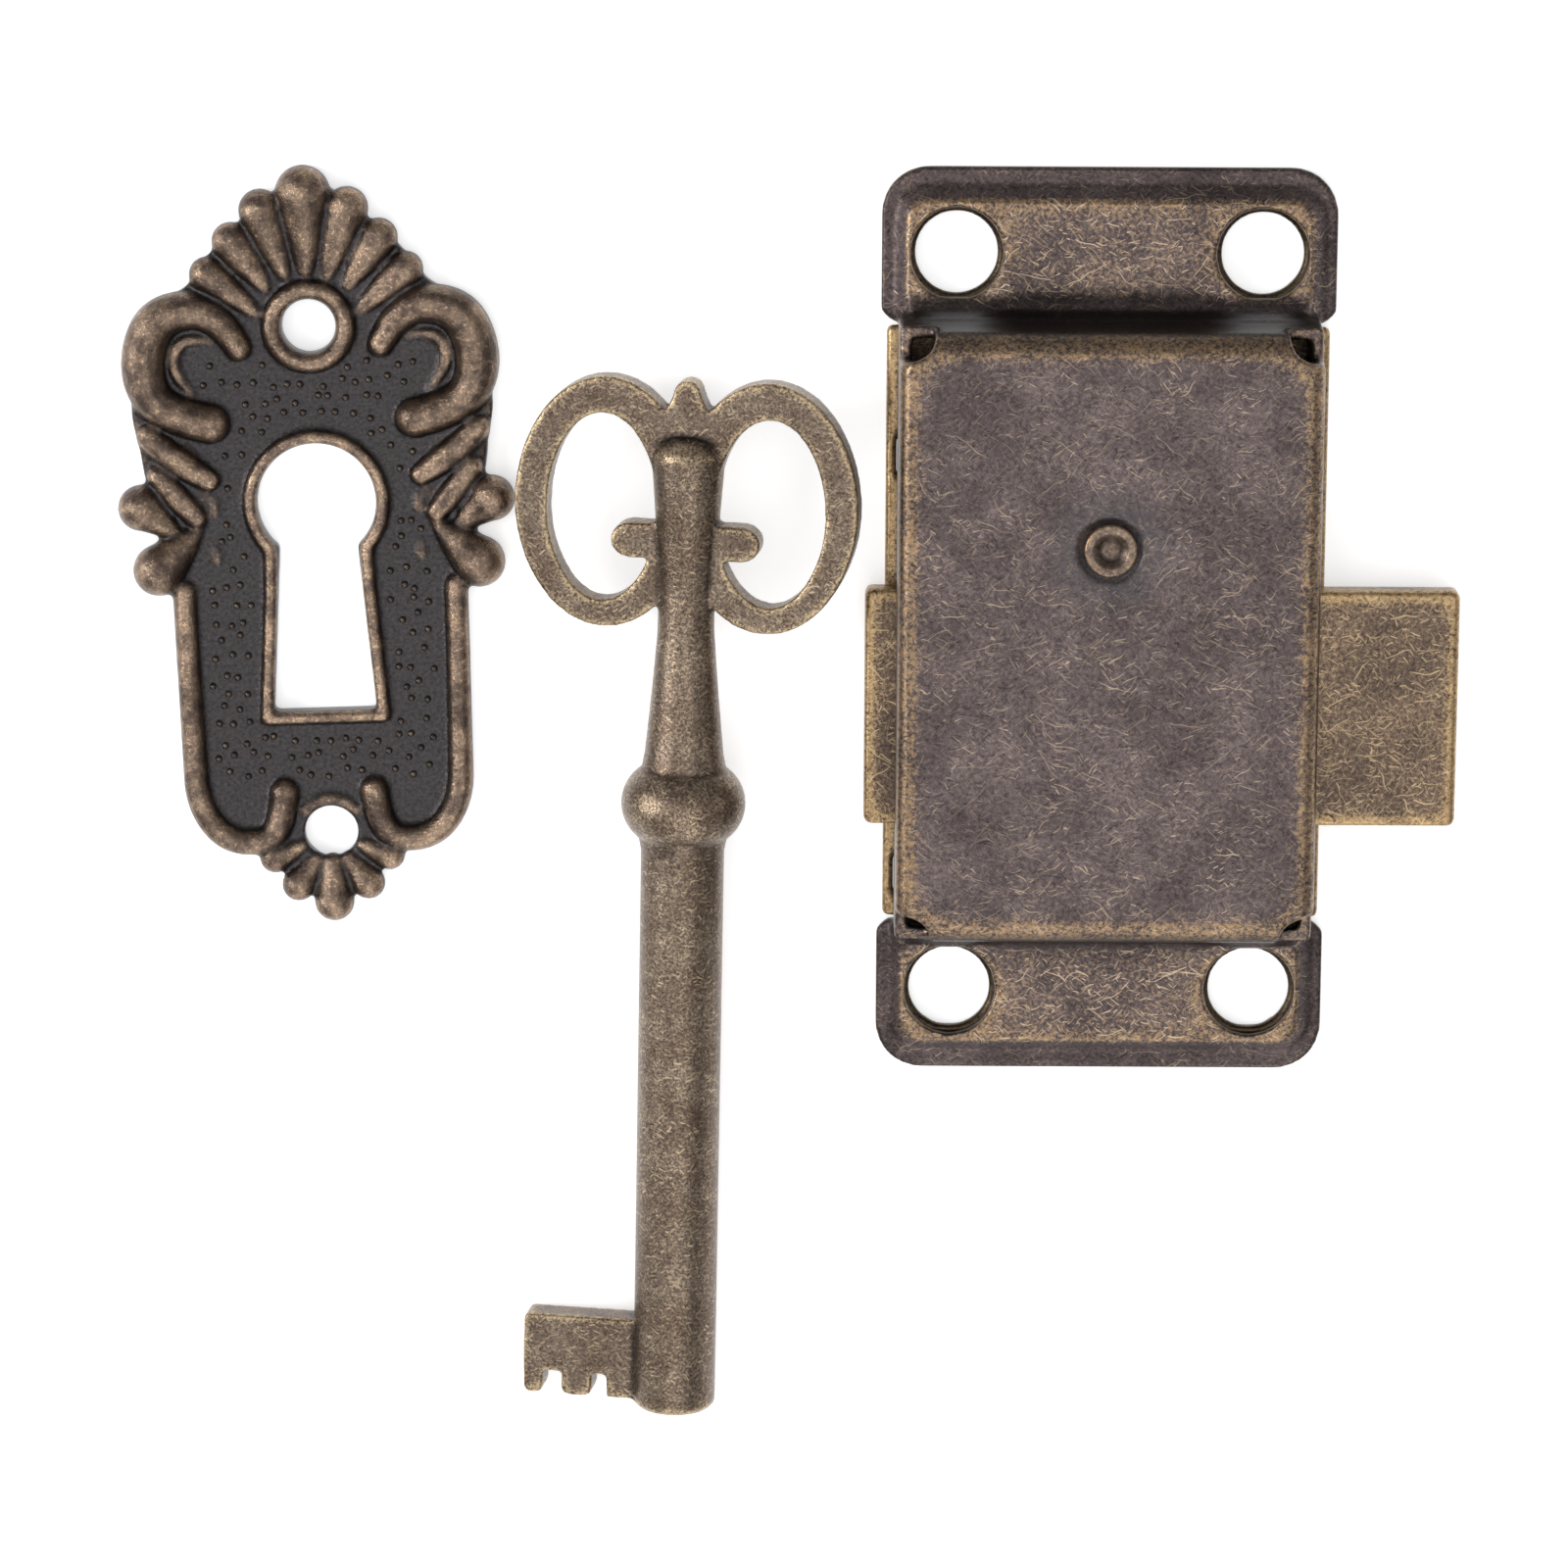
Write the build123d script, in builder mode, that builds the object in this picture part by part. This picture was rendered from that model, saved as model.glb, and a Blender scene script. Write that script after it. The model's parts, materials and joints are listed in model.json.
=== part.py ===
from build123d import *
from math import asin, atan2, cos, degrees, hypot, radians, sin, sqrt, tan
import os

os.makedirs("parts", exist_ok=True)

# Cabinet lock for a cupboard or drawer, with its barrel key and its escutcheon.
# All three lie on one table, z = 0, with the lock's raised case upwards.
# The origin is the centre of the lock's flat back. +Y runs towards the top ear.

# Sheets of the lock
cover_sheet = 0.9
base_sheet = 1.0
base_fit = 0.1

# Ears and their embossed pads
ear_width = 32.0
lock_length = 65.0
ear_corner_radius = 3.3
ear_end_lip = 1.25
ear_side_lip = 0.8
ear_waist_chamfer = 0.7
ear_overlap = 0.7
pad_corner_radius = 2.5
pad_taper = 48.0
pocket_side_wall = 1.6
pocket_end_wall = 2.4
pocket_corner_radius = 1.5

# Raised case
case_width = 29.6
case_length = 44.6
case_height = 8.5
case_bend_radius = 1.15
ear_bend_radius = 0.8
corner_relief_radius = 2.5
corner_relief_depth = 2.8
wall_tab_width = 3.0
upper_tab_from_end = 10.3
lower_tab_from_end = 4.1

# Base plate: strip that shows beside the case, and its stop short of the ears
base_strip = 0.8
base_strip_stop = 1.0

# Holes for wood screws, placed from the edges of the ears
screw_from_side = 5.25
screw_from_end = 6.0
cover_screw_hole_radius = 3.25
base_screw_hole_radius = 2.9

# Key pin, riveted in the face
pin_y = 6.6
pin_radius = 1.5
pin_tip_height = 0.5
pin_tip_chamfer = 0.4
pin_tenon_radius = 1.1
pin_head_radius = 1.86
pin_head_rise = 0.25
pin_dish_radius = 1.3
pin_dish_floor_radius = 0.75
pin_dish_depth = 0.45
rivet_recess_radius = 2.35
rivet_recess_depth = 0.35
rivet_clearance = 0.03

# Key
key_length = 75.5
barrel_radius = 2.965
barrel_end_chamfer = 0.45
barrel_bore_radius = 1.6
barrel_bore_depth = 10.0
neck_ring_radius = 3.15
neck_ring_width = 1.0
collar_radius = 4.415
collar_station = 45.05
collar_width = 5.0
upper_ring_radius = 3.0
upper_ring_width = 0.9
stem_foot_radius = 2.75
stem_waist_radius = 1.65
stem_waist_station = 60.4
stem_top_radius = 2.3
stem_top_station = 70.3
stem_dome_radius = 1.65
stem_dome_rise = 0.9

# Bit of the key, with a cut for each ward
bit_reach = 10.9
bit_height = 6.0
bit_start = 0.6
bit_thickness = 2.5
bit_cut_depth = 1.7
outer_cut_inside = 8.1
outer_cut_outside = 9.5
inner_cut_inside = 4.8
inner_cut_outside = 5.9
bit_corner_radius = 0.4
bit_tip_radius = 0.5
ward_clearance = 0.3

# Bow of the key
bow_thickness = 3.0
loop_centre = 5.75
loop_station = 66.35
loop_half_width = 6.45
loop_half_length = 9.2
eye_centre = 5.95
eye_station = 66.0
eye_half_width = 3.95
eye_half_length = 6.93
lug_station = 63.6
lug_radius = 1.38
lug_reach = 5.3
finial_base_half_width = 1.8
finial_base_station = 72.6
finial_tip_radius = 0.95

# How the key lies on the table: on its collar, barrel end and bit
collar_x = -29.8
collar_y = -12.3
key_lean = 0.8
table_clearance = 0.02

# Bolt, which comes out at both sides
bolt_length = 42.0
bolt_height = 17.0
bolt_thickness = 2.2
bolt_top_y = 2.9
bolt_corner_radius = 0.5
bolt_edge_chamfer = 0.25
bolt_throw = 8.0
bolt_clearance = 0.15
talon_clearance = 0.4
talon_corner_radius = 1.5

# Stud that guides the bolt
stud_radius = 1.5
stud_tenon_radius = 1.1
stud_head_radius = 2.7
stud_head_thickness = 0.8
stud_head_chamfer = 0.4
stud_above_edge = 4.3

# Bow spring behind the bolt
spring_sheet = 0.4
spring_strip_width = 1.9
spring_nose_radius = 1.1
spring_bow_share = 0.72
spring_wall_gap = 0.25
detent_depth = 0.8
detent_half_width = 1.7

# Escutcheon, cast, with its own axes: u to its right, v to its top
escutcheon_x = -55.7
escutcheon_y = 5.6
escutcheon_lean = 2.0
floor_thickness = 1.3
rim_half_width = 0.85
rim_height = 2.2
rim_bevel = 0.5
lower_half_width = 10.45
lower_corner_v = -16.9
lower_corner_radius = 5.2
waist_v = -3.9
escutcheon_hole_radius = 1.9
top_hole_v = 15.5
bottom_hole_v = -20.9
collar_ring_radius = 3.3

# Lower rim of the escutcheon, which ends in a hook beside the bottom hole
hook_radius = 2.1
hook_end_v = -17.6

# Scrolls beside the top hole: a bar bent to a C
scroll_u = 8.3
scroll_v = 13.2
scroll_bend_radius = 4.1
scroll_half_width = 1.35
scroll_height = 2.9
scroll_bevel = 0.7
scroll_start = 155.0
scroll_end = -104.0

# Flutes and lobes: how far they reach from their middle, and their height
shell_reach = 10.1
foot_reach = 5.2
side_reach = 12.4
flute_height = 2.7
flute_bevel = 0.45

# Keyhole of the escutcheon
keyhole_v = 2.95
keyhole_radius = 4.2
keyhole_throat_half_width = 2.75
keyhole_foot_half_width = 3.65
keyhole_foot_v = -12.0
keyhole_bead_width = 0.85
keyhole_bead_height = 2.1

# Worked out from the sizes above
screw_spacing_x = ear_width - 2 * screw_from_side
screw_spacing_y = lock_length - 2 * screw_from_end
upper_tab_y = case_length / 2 - upper_tab_from_end
lower_tab_y = lower_tab_from_end - case_length / 2
base_waist_width = case_width + 2 * base_strip
base_waist_length = case_length - 2 * base_strip_stop
pad_top = base_sheet + cover_sheet
pad_top_half_width = ear_width / 2 - ear_side_lip - base_sheet * tan(radians(pad_taper))
face_inside = case_height - cover_sheet
wall_inside_x = case_width / 2 - cover_sheet
wall_inside_y = case_length / 2 - cover_sheet
ear_start = case_length / 2 - ear_overlap
base_pocket_width = ear_width - 2 * pocket_side_wall
base_pocket_length = lock_length - 2 * pocket_end_wall
bolt_bottom_y = bolt_top_y - bolt_height
bolt_centre_x = bolt_throw / 2
bolt_floor = base_sheet + bolt_clearance
bolt_roof = bolt_floor + bolt_thickness

# The bit turns round the pin, dips below the bolt's top edge and drags the talon with it
bit_sweep_radius = bit_reach + talon_clearance
talon_drop = pin_y - bolt_top_y
bit_half_chord = sqrt(bit_reach**2 - talon_drop**2)
talon_width = 2 * bit_half_chord - bolt_throw + bit_thickness
talon_depth = bit_sweep_radius - talon_drop


def base_outline(grow):
    """Outline of the base plate: a long plate between the ears' pads, wider at the waist."""
    RectangleRounded(base_pocket_width + 2 * grow, base_pocket_length + 2 * grow, pocket_corner_radius)
    Rectangle(base_waist_width + 2 * grow, base_waist_length + 2 * grow)


# Case cover: one sheet drawn up into the case, with an embossed ear at each end
with BuildPart() as case_cover:
    with BuildSketch(Plane.XY):
        RectangleRounded(ear_width, lock_length, ear_corner_radius)
        Rectangle(2 * ear_width, 2 * ear_start, mode=Mode.SUBTRACT)
    extrude(amount=cover_sheet)
    waist_corners = case_cover.edges().filter_by(Axis.Z).group_by(lambda edge: abs(edge.center().Y))[0]
    chamfer(waist_corners, ear_waist_chamfer)
    pad_inner_end = case_length / 2 - 2 * cover_sheet
    pad_outer_end = lock_length / 2 - ear_end_lip
    with BuildSketch(Plane.XY.offset(cover_sheet)):
        with GridLocations(0, pad_inner_end + pad_outer_end, 1, 2):
            RectangleRounded(ear_width - 2 * ear_side_lip, pad_outer_end - pad_inner_end, pad_corner_radius)
    extrude(amount=base_sheet, taper=pad_taper)
    with BuildSketch(Plane.XY.offset(base_sheet)):
        Rectangle(case_width, case_length)
    extrude(amount=case_height - base_sheet)
    fillet(case_cover.faces().sort_by(Axis.Z)[-1].edges(), case_bend_radius)
    with BuildSketch(Plane.YZ):
        with BuildLine():
            bend_top = (case_length / 2, pad_top + ear_bend_radius)
            bend_foot = (case_length / 2 + ear_bend_radius, pad_top)
            RadiusArc(bend_top, bend_foot, ear_bend_radius)
            Polyline(bend_foot, (case_length / 2, pad_top), bend_top)
        make_face()
        mirror(about=Plane.YZ)
    extrude(amount=pad_top_half_width, both=True)
    with BuildSketch(Plane.XY):
        base_outline(base_fit)
    extrude(amount=base_sheet, mode=Mode.SUBTRACT)
    with BuildSketch(Plane.XY.offset(base_sheet)):
        Rectangle(2 * wall_inside_x, 2 * wall_inside_y)
    extrude(amount=face_inside - base_sheet, mode=Mode.SUBTRACT)
    with BuildSketch(Plane.XY.offset(base_sheet)):
        with Locations((0, bolt_top_y - bolt_height / 2)):
            Rectangle(bolt_length, bolt_height + 2 * bolt_clearance)
    extrude(amount=bolt_thickness + 2 * bolt_clearance, mode=Mode.SUBTRACT)
    with BuildSketch(Plane.XY.offset(case_height - corner_relief_depth)):
        with GridLocations(case_width, case_length, 2, 2):
            Circle(corner_relief_radius)
    extrude(amount=corner_relief_depth, mode=Mode.SUBTRACT)
    with BuildSketch(Plane.XY):
        for tab_y in (upper_tab_y, lower_tab_y):
            with Locations((0, tab_y)):
                with GridLocations(2 * wall_inside_x + cover_sheet, 0, 2, 1):
                    Rectangle(cover_sheet, wall_tab_width)
    extrude(amount=base_sheet)
    with BuildSketch(Plane.XY):
        with GridLocations(screw_spacing_x, screw_spacing_y, 2, 2):
            Circle(cover_screw_hole_radius)
    extrude(amount=pad_top, mode=Mode.SUBTRACT)
    with BuildSketch(Plane.XY.offset(face_inside)):
        with Locations((0, pin_y)):
            Circle(pin_tenon_radius + rivet_clearance)
    extrude(amount=cover_sheet, mode=Mode.SUBTRACT)
    with BuildSketch(Plane.XY.offset(case_height - rivet_recess_depth)):
        with Locations((0, pin_y)):
            Circle(rivet_recess_radius)
    extrude(amount=rivet_recess_depth, mode=Mode.SUBTRACT)
case_cover.part.label = "case_cover"
export_step(case_cover.part, "parts/case_cover.step")


# Base plate: flat sheet that closes the back, with the keyhole for the barrel and bit
with BuildPart() as base_plate:
    with BuildSketch(Plane.XY):
        base_outline(0)
        with GridLocations(screw_spacing_x, screw_spacing_y, 2, 2):
            Circle(base_screw_hole_radius, mode=Mode.SUBTRACT)
        with Locations((0, pin_y)):
            Circle(barrel_radius + talon_clearance, mode=Mode.SUBTRACT)
            Rectangle(
                bit_thickness + talon_clearance,
                bit_sweep_radius,
                align=(Align.CENTER, Align.MIN),
                mode=Mode.SUBTRACT,
            )
        for tab_y in (upper_tab_y, lower_tab_y):
            with Locations((0, tab_y)):
                with GridLocations(2 * wall_inside_x + cover_sheet, 0, 2, 1):
                    Rectangle(cover_sheet + base_fit, wall_tab_width + base_fit, mode=Mode.SUBTRACT)
        with Locations((0, bolt_bottom_y + stud_above_edge)):
            Circle(stud_tenon_radius + rivet_clearance, mode=Mode.SUBTRACT)
    extrude(amount=base_sheet)
base_plate.part.label = "base_plate"
export_step(base_plate.part, "parts/base_plate.step")


# Key pin: turned pin with a shoulder inside the face and a dished rivet head outside
with BuildPart() as key_pin:
    with BuildSketch(Plane.XZ.offset(-pin_y)):
        with BuildLine():
            Polyline(
                (0, pin_tip_height),
                (pin_radius - pin_tip_chamfer, pin_tip_height),
                (pin_radius, pin_tip_height + pin_tip_chamfer),
                (pin_radius, face_inside),
                (pin_tenon_radius, face_inside),
                (pin_tenon_radius, case_height - rivet_recess_depth),
                (pin_head_radius, case_height - rivet_recess_depth),
                (pin_head_radius, case_height + pin_head_rise / 2),
                (pin_head_radius - pin_head_rise / 2, case_height + pin_head_rise),
                (pin_dish_radius, case_height + pin_head_rise),
                (pin_dish_floor_radius, case_height + pin_head_rise - pin_dish_depth),
                (0, case_height + pin_head_rise - pin_dish_depth),
                close=True,
            )
        make_face()
    revolve(axis=Axis((0, pin_y, 0), (0, 0, 1)))
key_pin.part.label = "key_pin"
export_step(key_pin.part, "parts/key_pin.step")


# Wards: two rings bent from strip on the inside of the face, one for each cut in the bit
ward_height = bit_start + bit_cut_depth - ward_clearance
for ward_name, cut_inside, cut_outside in (
    ("outer_ward", outer_cut_inside, outer_cut_outside),
    ("inner_ward", inner_cut_inside, inner_cut_outside),
):
    with BuildPart() as ward:
        with BuildSketch(Plane.XY.offset(face_inside - ward_height)):
            with Locations((0, pin_y)):
                Circle(cut_outside - ward_clearance)
                Circle(cut_inside + ward_clearance, mode=Mode.SUBTRACT)
                with Locations((-cut_inside, 0)):
                    Rectangle(2 * (cut_outside - cut_inside), ward_clearance, mode=Mode.SUBTRACT)
        extrude(amount=ward_height)
    ward.part.label = ward_name
    export_step(ward.part, "parts/" + ward_name + ".step")


# Bolt: flat plate with the talon above, the guide slot and the two detents below
with BuildPart() as bolt:
    with BuildSketch(Plane.XY.offset(bolt_floor)) as bolt_plan:
        with Locations((bolt_centre_x, bolt_top_y - bolt_height / 2)):
            RectangleRounded(bolt_length, bolt_height, bolt_corner_radius)
        with Locations((bolt_centre_x, bolt_top_y)):
            RectangleRounded(talon_width, 2 * talon_depth, talon_corner_radius, mode=Mode.SUBTRACT)
        with Locations((bolt_centre_x, bolt_bottom_y + stud_above_edge)):
            SlotCenterToCenter(
                bolt_throw + 2 * bolt_clearance,
                2 * (stud_radius + bolt_clearance),
                mode=Mode.SUBTRACT,
            )
        for detent_x in (0, bolt_throw):
            with BuildLine():
                detent_curve = ThreePointArc(
                    (detent_x - detent_half_width, bolt_bottom_y),
                    (detent_x, bolt_bottom_y + detent_depth),
                    (detent_x + detent_half_width, bolt_bottom_y),
                )
                Line(detent_curve @ 1, detent_curve @ 0)
            make_face(mode=Mode.SUBTRACT)
    extrude(amount=bolt_thickness)
    chamfer(bolt.edges().filter_by(Axis.Y).group_by(Axis.X)[0].sort_by(Axis.Z)[-1], bolt_edge_chamfer)
    chamfer(bolt.edges().filter_by(Axis.Y).group_by(Axis.X)[-1].sort_by(Axis.Z)[-1], bolt_edge_chamfer)
bolt.part.label = "bolt"
export_step(bolt.part, "parts/bolt.step")


# Guide stud: riveted in the base plate, its head holds the bolt down
with BuildPart() as guide_stud:
    with BuildSketch(Plane.XY):
        with Locations((0, bolt_bottom_y + stud_above_edge)):
            Circle(stud_tenon_radius)
    extrude(amount=base_sheet)
    with BuildSketch(Plane.XY.offset(base_sheet)):
        with Locations((0, bolt_bottom_y + stud_above_edge)):
            Circle(stud_radius)
    extrude(amount=bolt_thickness + 2 * bolt_clearance)
    with BuildSketch(Plane.XY.offset(bolt_roof + bolt_clearance)):
        with Locations((0, bolt_bottom_y + stud_above_edge)):
            Circle(stud_head_radius)
    extrude(amount=stud_head_thickness)
    chamfer(guide_stud.faces().sort_by(Axis.Z)[-1].edges(), stud_head_chamfer)
guide_stud.part.label = "guide_stud"
export_step(guide_stud.part, "parts/guide_stud.step")


# Back spring: bowed strip, its ends against the end wall, its nose in a detent of the bolt
spring_foot_x = wall_inside_x - spring_wall_gap - spring_sheet / 2
spring_foot_y = -wall_inside_y + spring_wall_gap + spring_sheet / 2
nose_tip_y = bolt_bottom_y + detent_depth - bolt_clearance - spring_sheet / 2
nose_root_y = nose_tip_y - spring_nose_radius
spring_bow_y = spring_foot_y + spring_bow_share * (nose_root_y - spring_foot_y)
with BuildPart() as back_spring:
    with BuildSketch(Plane.XY.offset(bolt_floor)):
        with BuildLine():
            ThreePointArc(
                (-spring_foot_x, spring_foot_y),
                (-spring_foot_x / 2, spring_bow_y),
                (-spring_nose_radius, nose_root_y),
            )
            ThreePointArc(
                (-spring_nose_radius, nose_root_y),
                (0, nose_tip_y),
                (spring_nose_radius, nose_root_y),
            )
            ThreePointArc(
                (spring_nose_radius, nose_root_y),
                (spring_foot_x / 2, spring_bow_y),
                (spring_foot_x, spring_foot_y),
            )
            offset(amount=spring_sheet / 2, kind=Kind.ARC)
        make_face()
    extrude(amount=spring_strip_width)
back_spring.part.label = "back_spring"
export_step(back_spring.part, "parts/back_spring.step")


# The key's plane: x across the bow, y along the barrel from its end, z out of the bow.
# It is pitched so that collar and barrel end touch the table, and rolled onto the bit.
key_pitch = asin((collar_radius - barrel_radius) / (collar_station - barrel_end_chamfer))
bit_axis_height = collar_radius - (collar_station - bit_start) * sin(key_pitch)
key_roll = asin(bit_axis_height / hypot(bit_reach, bit_thickness / 2)) - atan2(bit_thickness / 2, bit_reach)
lean = radians(key_lean)
key_axis = Vector(sin(lean) * cos(key_pitch), cos(lean) * cos(key_pitch), sin(key_pitch))
flat_right = Vector(cos(lean), -sin(lean), 0)
flat_up = flat_right.cross(key_axis)
bow_right = flat_right * cos(key_roll) + flat_up * sin(key_roll)
collar_centre = Vector(collar_x, collar_y, collar_radius + table_clearance)
key_origin = collar_centre - key_axis * collar_station
key_plane = Plane(origin=key_origin, x_dir=bow_right, z_dir=bow_right.cross(key_axis))

# Key: one casting, turned forms for barrel, collar and stem, a flat bow and a flat bit
collar_start = collar_station - collar_width / 2
collar_end = collar_station + collar_width / 2
stem_start = collar_end + upper_ring_width
with BuildPart() as key:
    with BuildSketch(key_plane):
        with BuildLine():
            Polyline(
                (0, 0),
                (barrel_radius - barrel_end_chamfer, 0),
                (barrel_radius, barrel_end_chamfer),
                (barrel_radius, collar_start - neck_ring_width),
                (neck_ring_radius, collar_start - neck_ring_width),
                (neck_ring_radius, collar_start),
            )
            ThreePointArc(
                (neck_ring_radius, collar_start),
                (collar_radius, collar_station),
                (upper_ring_radius, collar_end),
            )
            Polyline(
                (upper_ring_radius, collar_end),
                (upper_ring_radius, stem_start),
                (stem_foot_radius, stem_start),
                (stem_waist_radius, stem_waist_station),
                (stem_top_radius, stem_top_station),
                (stem_dome_radius, stem_top_station + stem_dome_rise),
                (0, stem_top_station + stem_dome_rise),
                (0, 0),
            )
        make_face()
    revolve(axis=Axis(key_plane.origin, key_axis))
    with BuildSketch(key_plane) as bow_plan:
        for side in (-1, 1):
            with Locations((side * loop_centre, loop_station)):
                Ellipse(loop_half_width, loop_half_length)
        with BuildLine():
            finial_tip_v = key_length - finial_tip_radius
            Polyline(
                (-finial_tip_radius, finial_tip_v),
                (-finial_base_half_width, finial_base_station),
                (-finial_base_half_width, lug_station),
                (finial_base_half_width, lug_station),
                (finial_base_half_width, finial_base_station),
                (finial_tip_radius, finial_tip_v),
            )
            ThreePointArc(
                (finial_tip_radius, finial_tip_v),
                (0, key_length),
                (-finial_tip_radius, finial_tip_v),
            )
        make_face()
        for side in (-1, 1):
            with Locations((side * eye_centre, eye_station)):
                Ellipse(eye_half_width, eye_half_length, mode=Mode.SUBTRACT)
        with Locations((0, lug_station)):
            SlotOverall(2 * lug_reach, 2 * lug_radius)
    extrude(amount=bow_thickness / 2, both=True)
    with BuildSketch(key_plane) as bit_plan:
        with BuildLine():
            Polyline(
                (0, bit_start),
                (-inner_cut_inside, bit_start),
                (-inner_cut_inside, bit_start + bit_cut_depth),
                (-inner_cut_outside, bit_start + bit_cut_depth),
                (-inner_cut_outside, bit_start),
                (-outer_cut_inside, bit_start),
                (-outer_cut_inside, bit_start + bit_cut_depth),
                (-outer_cut_outside, bit_start + bit_cut_depth),
                (-outer_cut_outside, bit_start),
                (-bit_reach, bit_start),
                (-bit_reach, bit_start + bit_height),
                (0, bit_start + bit_height),
                close=True,
            )
        make_face()
        fillet(bit_plan.vertices().group_by(Axis.Y)[-1].sort_by(Axis.X)[0], bit_corner_radius)
        fillet(bit_plan.vertices().group_by(Axis.Y)[0].sort_by(Axis.X)[:4], bit_tip_radius)
    extrude(amount=bit_thickness / 2, both=True)
    with BuildSketch(key_plane):
        with Locations((0, 0)):
            Rectangle(barrel_bore_radius, barrel_bore_depth, align=(Align.MIN, Align.MIN))
    revolve(axis=Axis(key_plane.origin, key_axis), mode=Mode.SUBTRACT)
key.part.label = "key"
export_step(key.part, "parts/key.step")


# The escutcheon's plane, leaned a little to the left on the table
escutcheon_turn = radians(escutcheon_lean)
escutcheon_plane = Plane(
    origin=(escutcheon_x, escutcheon_y, 0),
    x_dir=(cos(escutcheon_turn), sin(escutcheon_turn), 0),
    z_dir=(0, 0, 1),
)

# Flutes that fan out round a middle. Each has a root and a tip:
# angle, distance and radius, the last two as shares of the fan's reach.
# Shell above the top hole, round that hole, from the middle to the side
shell_flutes = (
    ((90, 0.40, 0.06), (90, 1.00, 0.18)),
    ((66, 0.42, 0.055), (71, 0.90, 0.13)),
    ((44, 0.46, 0.055), (50, 0.86, 0.115)),
    ((20, 0.45, 0.055), (31, 0.85, 0.10)),
)
# Small shell below the bottom hole, round that hole
foot_flutes = (
    ((-90, 0.52, 0.10), (-90, 1.00, 0.26)),
    ((-60, 0.52, 0.10), (-57, 0.88, 0.21)),
    ((-27, 0.53, 0.10), (-26, 0.85, 0.20)),
)
# Two slanted flutes and two ball lobes at the side, round the keyhole's eye
side_flutes = (
    ((13, 0.67, 0.05), (24, 1.06, 0.085)),
    ((-4, 0.72, 0.05), (14, 0.99, 0.08)),
    ((-8, 0.84, 0.05), (-1.5, 1.00, 0.12)),
    ((-12, 0.71, 0.05), (-23, 0.98, 0.14)),
)


def fan(middle_v, reach, flutes):
    """Both ends of each flute as u, v and radius."""
    placed = []
    for flute in flutes:
        ends = []
        for angle, distance, radius in flute:
            end_u = reach * distance * cos(radians(angle))
            end_v = middle_v + reach * distance * sin(radians(angle))
            ends.append((end_u, end_v, reach * radius))
        placed.append(ends)
    return placed


def flute_outline(ends, side):
    """A flute seen from above: the hull of a square root and a round tip."""
    (root_u, root_v, root_radius), (tip_u, tip_v, tip_radius) = ends
    heading = degrees(atan2(tip_v - root_v, side * (tip_u - root_u)))
    with BuildSketch(escutcheon_plane) as outline:
        with Locations((side * root_u, root_v)):
            Rectangle(root_radius, 2 * root_radius, rotation=heading)
        with Locations((side * tip_u, tip_v)):
            Circle(tip_radius)
        make_hull()
    return outline.sketch


def bar_outline(middle_line, side, half_width):
    """A bar seen from above: its middle line made wide, with round ends."""
    with BuildSketch(escutcheon_plane) as outline:
        with BuildLine():
            for points in middle_line:
                placed = [(side * point_u, point_v) for point_u, point_v in points]
                if len(placed) == 2:
                    Line(*placed)
                else:
                    ThreePointArc(*placed)
            offset(amount=half_width, kind=Kind.ARC)
        make_face()
    return outline.sketch


def raised_form(outline, height, bevel):
    """A form that rises straight from the back to a bevelled crest."""
    with BuildPart() as form:
        extrude(outline, amount=height)
        chamfer(form.faces().sort_by(Axis.Z)[-1].edges(), bevel)
    return form.part


def on_arc(middle_u, middle_v, radius, angle):
    return (middle_u + radius * cos(radians(angle)), middle_v + radius * sin(radians(angle)))


shell = fan(top_hole_v, shell_reach, shell_flutes)
foot_shell = fan(bottom_hole_v, foot_reach, foot_flutes)
side_lobes = fan(keyhole_v, side_reach, side_flutes)

# Middle lines of the rim with its hook, and of the scroll
rim_u = lower_half_width - rim_half_width
rim_bend_radius = lower_corner_radius - rim_half_width
corner_u = lower_half_width - lower_corner_radius
rim_foot_v = lower_corner_v - rim_bend_radius
hook_u = corner_u - hook_radius
hook_v = rim_foot_v + hook_radius
rim_line = (
    ((rim_u, waist_v), (rim_u, lower_corner_v)),
    (
        (rim_u, lower_corner_v),
        on_arc(corner_u, lower_corner_v, rim_bend_radius, -45),
        (corner_u, rim_foot_v),
    ),
    (
        (corner_u, rim_foot_v),
        on_arc(corner_u, hook_v, hook_radius, -135),
        (hook_u, hook_v),
    ),
    ((hook_u, hook_v), (hook_u, hook_end_v)),
)
scroll_points = []
for scroll_angle in (scroll_start, (scroll_start + scroll_end) / 2, scroll_end):
    scroll_points.append(on_arc(scroll_u, scroll_v, scroll_bend_radius, scroll_angle))
scroll_line = (scroll_points,)

raised_forms = []
for side in (1, -1):
    raised_forms.append(raised_form(bar_outline(rim_line, side, rim_half_width), rim_height, rim_bevel))
    scroll_outline = bar_outline(scroll_line, side, scroll_half_width)
    raised_forms.append(raised_form(scroll_outline, scroll_height, scroll_bevel))
for ends in shell + foot_shell + side_lobes:
    tip_u, tip_v, tip_radius = ends[1]
    for side in (1, -1) if tip_u > tip_radius else (1,):
        raised_forms.append(raised_form(flute_outline(ends, side), flute_height, flute_bevel))

# Keyhole outline: a round eye over a flared foot
keyhole_throat_v = keyhole_v - sqrt(keyhole_radius**2 - keyhole_throat_half_width**2)


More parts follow.
